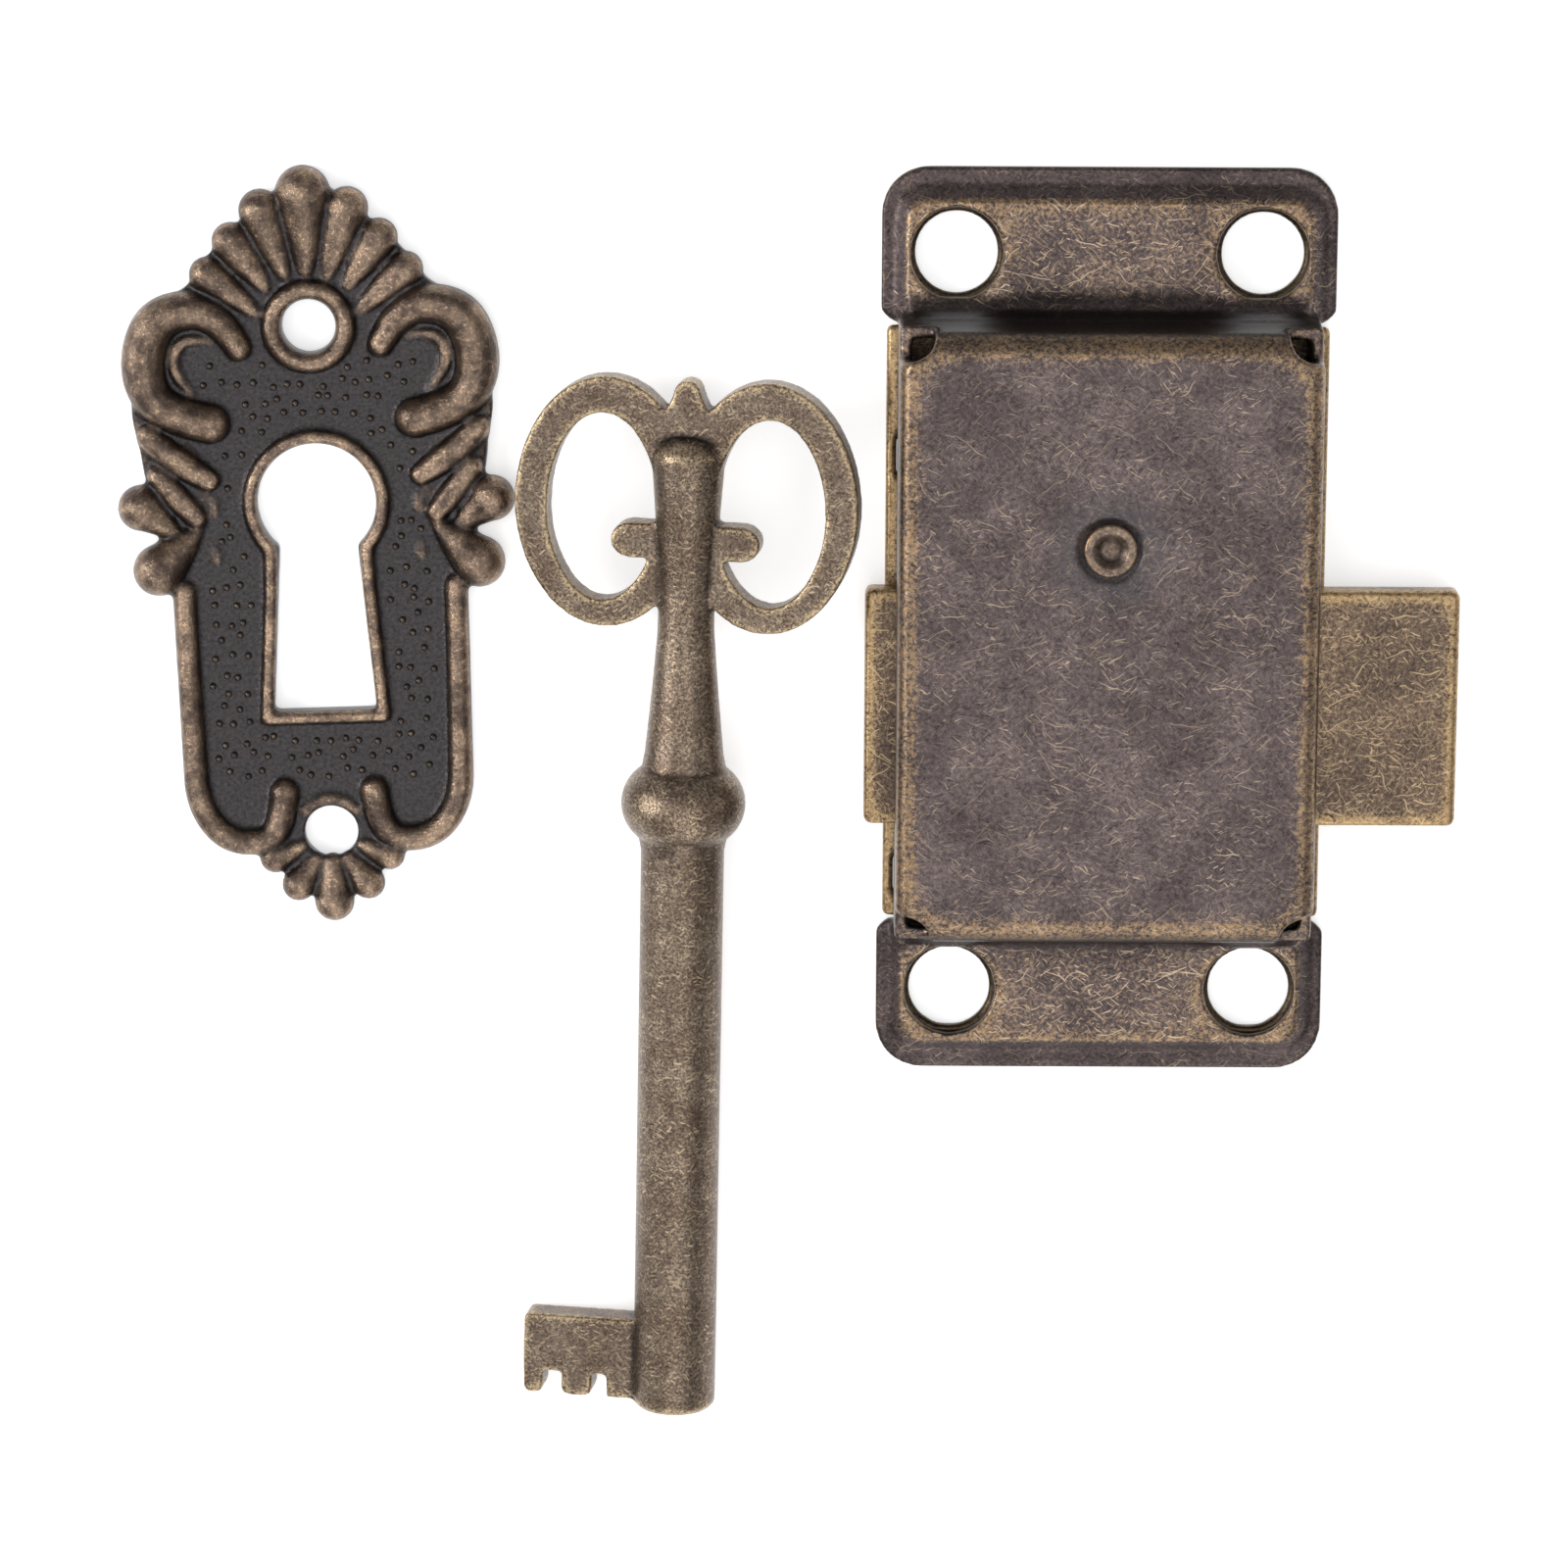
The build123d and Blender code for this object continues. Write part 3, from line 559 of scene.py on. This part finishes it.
def add_plate(solid, outlines, low, high):
    """A flat plate between two heights. The first outline is its edge, the others its holes."""
    line = bpy.data.curves.new("plate", "CURVE")
    line.dimensions = "2D"
    line.fill_mode = "BOTH"
    line.extrude = (high - low) / 2
    for outline in outlines:
        run = line.splines.new("POLY")
        run.points.add(len(outline) - 1)
        for knot, (u, v) in zip(run.points, outline):
            knot.co = (u, v, 0.0, 1.0)
        run.use_cyclic_u = True
    holder = bpy.data.objects.new("plate", line)
    plate = bpy.data.meshes.new_from_object(holder)
    plate.transform(Matrix.Translation((0, 0, (low + high) / 2)))
    solid.from_mesh(plate)
    bpy.data.objects.remove(holder)


def arc(centre, radius, first, last, steps):
    """Points on a round stretch, angles in degrees."""
    return [
        (
            centre[0] + radius * cos(radians(first + (last - first) * i / steps)),
            centre[1] + radius * sin(radians(first + (last - first) * i / steps)),
        )
        for i in range(steps + 1)
    ]


def both_sides(half):
    """A closed outline from its right half, which runs from top to bottom."""
    return half + [(-u, v) for u, v in reversed(half) if u > 0]


def keyhole_outline(grow):
    """A round eye over a flared foot."""
    radius = keyhole_radius + grow
    throat = keyhole_throat + grow
    foot = keyhole_foot + grow
    turn = degrees(atan2(-((radius**2 - throat**2) ** 0.5), throat))
    eye = arc((0, keyhole_v), radius, 90, turn, 16)
    return both_sides(eye + [(foot, keyhole_foot_v - grow)])


# Right half of the escutcheon's edge, top to bottom, just inside the bars that stand on it
edge_half = [
    (0, 26.3), (1.3, 25.6), (3.0, 24.3), (5.6, 22.0), (7.6, 19.9), (8.4, 18.6), (11.2, 16.7),
    (12.3, 14.2), (12.6, 11.0), (12.2, 6.0), (11.6, 2.6), (10.9, -1.7), (9.9, -3.9), (9.55, -16.9),
] + arc((5.25, -16.9), 4.3, 0, -90, 8) + [(3.9, -22.9), (2.3, -24.7), (0, -26.0)]

# Cheek under the slanted flutes, which carries the edge on from the scroll
cheek_half = [
    (10.4, 9.6), (12.7, 11.5), (12.75, 9.5), (12.45, 7.6), (11.8, 5.3), (11.2, 4.0), (8.6, 2.4),
    (7.5, 3.6), (7.4, 5.4), (8.8, 7.3),
]

# Bars of the relief on the right side: points (u, v), radii, height of the middle line, rise
scroll_bar = (
    [
        (5.0, 14.1), (5.9, 15.8), (8.0, 17.1), (10.7, 16.4), (11.8, 14.0), (11.75, 11.4), (10.2, 9.5),
        (7.2, 8.8),
    ],
    [0.95, 1.1, 1.35, 1.55, 1.6, 1.55, 1.4, 1.4],
    1.2,
    1.15,
)
scroll_leaf = (
    [(6.9, 14.6), (8.2, 14.9), (9.3, 14.4), (9.7, 13.2), (9.3, 11.9), (8.4, 10.9)],
    [0.36, 0.46, 0.52, 0.52, 0.46, 0.36],
    1.22,
    1.0,
)
side_bars = (
    ([(11.6, 8.0), (9.8, 6.1), (7.5, 4.8)], [0.85, 1.15, 0.75], 1.6, 0.85),
    ([(11.1, 5.2), (9.8, 3.6), (8.5, 2.1)], [0.75, 1.05, 0.7], 1.6, 0.85),
    ([(12.4, 2.9), (11.3, 2.1), (9.9, 0.9)], [1.68, 1.3, 0.5], 1.2, 1.05),
    ([(11.35, -1.6), (10.2, -0.5), (8.4, 1.3)], [1.88, 1.55, 0.5], 1.2, 1.0),
    ([(7.3, 3.3), (7.25, 2.4)], [0.5, 0.55], 1.05, 1.0),
    ([(7.3, 0.0), (7.25, -0.9)], [0.45, 0.6], 1.0, 1.0),
)
rim_bar = (
    [
        (9.65, -3.2), (9.6, -9.0), (9.5, -15.0), (9.4, -18.6), (7.6, -21.3), (4.6, -21.6), (3.4, -19.9),
        (3.2, -17.9),
    ],
    [0.85, 0.85, 0.88, 0.95, 0.98, 0.98, 1.02, 1.05],
    1.2,
    1.15,
)
shell_bars = (
    ([(0, 19.6), (0, 22.5), (0, 24.9)], [0.7, 1.68, 1.98], 1.15, 0.95),
    ([(1.5, 19.1), (2.35, 21.7), (3.05, 23.75)], [0.55, 1.38, 1.55], 1.15, 0.95),
    ([(2.9, 18.3), (4.1, 20.1), (5.2, 21.65)], [0.55, 1.25, 1.38], 1.15, 0.95),
    ([(3.7, 16.6), (5.5, 18.2), (7.0, 19.35)], [0.55, 1.15, 1.28], 1.15, 0.95),
)
foot_bars = (
    ([(0, -23.2), (0, -24.8), (0, -26.0)], [0.8, 1.2, 1.45], 1.1, 0.95),
    ([(1.2, -22.9), (2.0, -24.0), (2.5, -24.7)], [0.65, 1.05, 1.22], 1.1, 0.95),
    ([(2.2, -21.9), (3.3, -22.4), (4.1, -22.7)], [0.6, 0.95, 1.12], 1.1, 0.95),
)


def cast_escutcheon(material):
    """The plate with its shell, scrolls, flutes, rim and dotted floor, as one skin."""
    solid = bmesh.new()
    holes = [arc((0, v), hole_radius, 0, 345, 23) for v in (top_hole_v, bottom_hole_v)]
    keyhole = keyhole_outline(0)
    add_plate(solid, [both_sides(edge_half), keyhole] + holes, 0, floor_height)
    ring = arc((0, top_hole_v), hole_radius + top_ring_radius, 0, 345, 23)
    add_bar(solid, ring, [top_ring_radius] * len(ring), floor_height, bead_rise, closed=True)
    collar = arc((0, bottom_hole_v), hole_radius + bottom_collar_radius, 42, 138, 8)
    add_bar(solid, collar, [bottom_collar_radius] * len(collar), floor_height, bottom_collar_rise)
    for side in (1, -1):
        add_plate(solid, [[(side * u, v) for u, v in cheek_half]], floor_height / 2, cheek_height)
    # A doubled point keeps the corners at the keyhole's foot sharp
    bead = keyhole_outline(keyhole_bead_radius)
    corner = next(i for i, (u, v) in enumerate(bead) if v < keyhole_foot_v)
    bead[corner:corner + 2] = [bead[corner]] * 2 + [bead[corner + 1]] * 2
    add_bar(solid, bead, [keyhole_bead_radius] * len(bead), floor_height, bead_rise, closed=True)
    for bar in (scroll_bar, scroll_leaf, rim_bar) + side_bars + shell_bars + foot_bars:
        points, radii, height, rise = bar
        for side in (1,) if points[-1][0] == 0 else (1, -1):
            add_bar(solid, [(side * u, v) for u, v in points], radii, height, rise)
    for vertex in solid.verts:
        vertex.co.z = max(vertex.co.z, 0)
    shape = grow_skin(solid, escutcheon_skin, escutcheon_smoothing)
    shape = worn_shape(shape, escutcheon_wear_reach)
    add_dimples(shape)
    top = Vector(mount_place("escutcheon_top_hole"))
    foot = Vector(mount_place("escutcheon_bottom_hole"))
    up = (top - foot).normalized()
    turn = atan2(-up.x, up.y)
    centre = top - up * top_hole_v * millimetre
    moved = Matrix.Translation((centre.x, centre.y, 0))
    place = moved @ Matrix.Rotation(turn, 4, "Z") @ Matrix.Scale(millimetre, 4)
    return finish_piece(shape, "cast_escutcheon", "escutcheon", place, material)


def mount_place(name):
    """Where a mount of the record is, in metres."""
    return next(m["pos_m"] for m in frame["record"]["mounts"] if m["name"] == name)


def add_dimples(shape):
    """Small round pimples over the flat floor, in uneven rows."""
    surface = BVHTree.FromBMesh(shape)
    chance = Random(7)
    rows = int(dimple_length / dimple_spacing)
    columns = int(dimple_width / dimple_spacing)
    for row in range(rows):
        for column in range(columns):
            shift = dimple_jitter * chance.uniform(-1, 1)
            u = dimple_left + (column + 0.5 * (row % 2) + shift) * dimple_spacing
            v = dimple_top - (row + dimple_jitter * chance.uniform(-1, 1)) * dimple_spacing
            around = [(u, v)] + arc((u, v), dimple_margin * dimple_radius, 0, 270, 3)
            hits = [surface.ray_cast(Vector((x, y, 9)), Vector((0, 0, -1)))[0] for x, y in around]
            if all(hit is not None and abs(hit.z - floor_height) < dimple_flatness for hit in hits):
                add_ball(shape, u, v, floor_height, dimple_radius, facets=8)


# Hair scratches: cell size and line width in mm, and the share of cells that have one
face_hairs = [
    (0.4, 0.04, 0.4), (0.55, 0.04, 0.5), (0.85, 0.035, 0.5), (1.2, 0.035, 0.5), (1.5, 0.035, 0.5),
    (2.0, 0.035, 0.5), (2.8, 0.035, 0.6),
]
bolt_hairs = [
    (0.4, 0.045, 0.8), (0.6, 0.045, 0.8), (0.9, 0.045, 0.8), (1.3, 0.045, 0.8), (1.9, 0.05, 0.7),
    (2.6, 0.045, 0.7),
]
key_hairs = [(0.35, 0.06, 0.7), (0.5, 0.06, 0.6)]
dark_hairs = [(0.45, 0.055, 0.9), (0.7, 0.055, 0.8), (1.2, 0.05, 0.8)]

pin_node = frame["nodes"]["key_pin"]
pin_box = [pin_node.matrix_world @ Vector(c) for c in pin_node.bound_box]
pin_centre = sum(pin_box, Vector()) / 8 / millimetre
halo_centre = (pin_centre.x, pin_centre.y, 0)

# Looks: colours, the noises' scales per mm, and how wear, edges and hollows take on gold and black
sheet_look = {
    "dark": "#554b4a", "light": "#695d5c", "gold": "#a8895e", "scratch": "#bca68e", "hollow": "#131011",
    "cloud": 0.2, "grain": 3.6, "contrast": (0.52, 1.38), "slope": 0.9, "wear": 0.2, "edge": (0.1, 0.26),
    "rubbed": 0.0, "deep": (1.7, 0.4), "hairs": face_hairs, "dark_hairs": dark_hairs, "faint": 0.3,
    "gloss": (0.36, 0.3), "bump": 0.25,
}
plate_look = sheet_look | {
    "dark": "#5d4f46", "light": "#766456", "gold": "#b3966c", "scratch": "#c9b089",
    "wear": 0.16, "rubbed": 0.1, "hairs": bolt_hairs, "faint": 0.6, "contrast": (0.42, 1.42),
    "edge": (0.25, 0.25), "deep": (0.8, 0.15),
}
rivet_look = sheet_look | {
    "dark": "#7a695f", "light": "#9a8778", "wear": 0.1, "rubbed": 0.06, "hairs": [], "slope": 0.4,
    "deep": (0.7, 0.1),
}
key_look = sheet_look | {
    "dark": "#68584c", "light": "#786a5e", "gold": "#bfa885", "scratch": "#c8b395", "hollow": "#1d1917",
    "cloud": 0.35, "grain": 5.2, "contrast": (0.35, 1.5), "wear": 0.13, "edge": (0.22, 0.22), "rubbed": 0.08,
    "hairs": key_hairs, "dark_hairs": [(0.4, 0.06, 0.8)], "faint": 0.4, "gloss": (0.3, 0.25), "bump": 0.4,
    "deep": (0.8, 0.15),
}
escutcheon_look = sheet_look | {
    "dark": "#75645a", "light": "#bba18a", "gold": "#d9b792", "hollow": "#3b3839", "cloud": 0.7,
    "grain": 3.8, "contrast": (0.72, 1.25), "slope": 0.12, "wear": 0.24, "edge": (0.14, 0.14),
    "rubbed": 0.05, "deep": (0.45, 0.0), "hairs": [], "gloss": (0.24, 0.22), "bump": 0.7,
}
# The case sheet takes painted shade on its end walls
cover_bronze = tumbled_bronze(
    "bronzed_case_sheet",
    sheet_look,
    low_black=(0.8, 0.9, 0.4),
    rub=(pad_top, 0.9),
    painted_wall_shade=0.85,
    halo=halo_centre,
)
bolt_bronze = tumbled_bronze("bronzed_bolt", plate_look)
# The base plate takes painted shade on its ends, under the cover's ears
base_bronze = tumbled_bronze("bronzed_base_sheet", plate_look, painted_shade_beyond_y=end_wall_y)
rivet_bronze = tumbled_bronze("bronzed_rivet", rivet_look)
key_bronze = tumbled_bronze("bronzed_key_casting", key_look)
escutcheon_bronze = tumbled_bronze(
    "bronzed_escutcheon_casting", escutcheon_look, low_black=(1.38, 0.3, 1.0)
)

# The shown pieces: node, name, grid of the skin in mm, rounds of smoothing, reach of the wear
skinned_piece("case_cover", "pressed_cover", 0.27, 2, 40, cover_bronze, shape_cover, round_end_bends)
skinned_piece("base_plate", "pressed_base", 0.27, 1, 20, base_bronze)
skinned_piece("bolt", "sheared_bolt", 0.2, 1, 30, bolt_bronze)
skinned_piece("key_pin", "riveted_pin", 0.09, 1, 12, rivet_bronze)
skinned_piece("key", "cast_key", 0.17, 2, 16, key_bronze, dress_key)
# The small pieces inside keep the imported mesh
for hidden_node in ("outer_ward", "inner_ward", "guide_stud", "back_spring"):
    frame["nodes"][hidden_node].data.materials.clear()
    frame["nodes"][hidden_node].data.materials.append(rivet_bronze)
cast_escutcheon(escutcheon_bronze)


# Pale floor, which shows white to the camera and in the metal, and keeps a soft shadow
floor_mesh = bpy.data.meshes.new("floor")
floor_shape = bmesh.new()
bmesh.ops.create_grid(floor_shape, x_segments=1, y_segments=1, size=floor_half_size)
floor_shape.to_mesh(floor_mesh)
floor_shape.free()
floor = bpy.data.objects.new("floor", floor_mesh)
bpy.context.scene.collection.objects.link(floor)
floor_paint = bpy.data.materials.new("matt_white_paper")
floor_paint.use_nodes = True
floor_tree = floor_paint.node_tree
floor_tree.nodes.clear()
path = add_node(floor_tree, "LightPath", {})
matt = add_node(floor_tree, "BsdfDiffuse", {"Color": linear("#f2f2f2")})
looked_at = add_node(floor_tree, "Math", {0: path.outputs["Is Camera Ray"], 1: path.outputs["Is Glossy Ray"]})
through = add_node(floor_tree, "Math", {0: looked_at.outputs[0], 1: path.outputs["Is Transmission Ray"]})
seen = add_node(floor_tree, "Math", {0: through.outputs[0], 1: floor_glow}, operation="MULTIPLY")
glow = add_node(floor_tree, "Emission", {"Strength": seen.outputs[0]})
both = add_node(floor_tree, "AddShader", {0: matt.outputs[0], 1: glow.outputs[0]})
add_node(floor_tree, "OutputMaterial", {"Surface": both.outputs[0]})
floor_mesh.materials.append(floor_paint)

# Soft studio light: a wide box overhead, a strong small one on the left, weaker ones on the right
# and in front, and an even white room. Name, place and size in metres, and strength.
softboxes = (
    ("overhead", (0.0, -0.1, 0.9), 1.1, 1.12),
    ("left_side", (-0.9, 0.1, 0.55), 0.5, 7.0),
    ("right_side", (0.9, 0.1, 0.35), 0.5, 0.6),
    ("front", (0.0, -0.9, 0.5), 0.8, 1.6),
)
for name, place, size, radiance in softboxes:
    box = bpy.data.lights.new(name, "AREA")
    box.shape = "SQUARE"
    box.size = size
    box.energy = radiance * pi * size**2
    holder = bpy.data.objects.new(name, box)
    bpy.context.scene.collection.objects.link(holder)
    holder.location = place
    holder.rotation_euler = Vector(place).to_track_quat("Z", "Y").to_euler()
room = bpy.data.worlds.new("grey_room")
room.use_nodes = True
room.node_tree.nodes["Background"].inputs[0].default_value = linear("#ffffff")
room.node_tree.nodes["Background"].inputs[1].default_value = room_light
bpy.context.scene.world = room
bpy.context.scene.view_settings.view_transform = "Standard"

# The camera looks down on the table from above the top ears
camera_place = (-0.02315, 0.08372, 0.45066)
camera_tilt = -11.98
camera_roll = 0.29
camera_lens = 147.9
camera_data = bpy.data.cameras.new("camera")
camera_data.lens = camera_lens
camera = bpy.data.objects.new("camera", camera_data)
bpy.context.scene.collection.objects.link(camera)
camera.location = camera_place
camera.rotation_euler = (radians(camera_tilt), 0, radians(camera_roll))
bpy.context.scene.camera = camera
